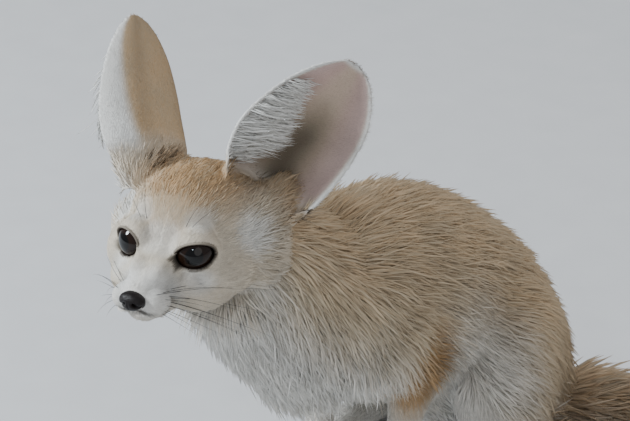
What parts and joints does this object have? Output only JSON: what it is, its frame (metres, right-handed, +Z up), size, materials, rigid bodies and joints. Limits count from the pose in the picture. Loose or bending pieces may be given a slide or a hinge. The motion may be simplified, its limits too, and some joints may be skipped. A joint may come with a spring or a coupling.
{
  "type": "sitting fennec fox",
  "caption": "Life-size still model of a small pale desert fox with very large ears, sitting on its haunches, head stretched forward, tail curled round its left side.",
  "frame": {"origin": "the middle of the bounding box's underside, on the floor that the fox sits on", "axes": "+Z up; the trunk faces -Y, so +Y runs from the chest to the tail; +X is the animal's left"},
  "size_m": [0.2546, 0.3992, 0.3182],
  "materials": {
    "coat_cream": "soft pale sandy fur",
    "coat_white": "soft white fur",
    "coat_sand": "soft reddish sandy fur",
    "coat_dark": "soft blackish brown fur",
    "nose_skin": "moist black bare skin",
    "eye_ball": "wet, nearly black dark brown"
  },
  "bodies": {
    "root": {"head": "coat_cream", "nose": "nose_skin", "eye_left": "eye_ball", "eye_right": "eye_ball", "ear_left": "coat_white", "ear_right": "coat_sand", "neck": "coat_cream", "torso": "coat_cream", "foreleg_left": "coat_sand", "foreleg_right": "coat_sand", "forepaw_left": "coat_white", "forepaw_right": "coat_white", "hindleg_left": "coat_cream", "hindleg_right": "coat_cream", "hindpaw_left": "coat_white", "hindpaw_right": "coat_white", "tail_base": "coat_cream", "tail_middle": "coat_sand", "tail_tip": "coat_dark"}
  },
  "joints": []
}
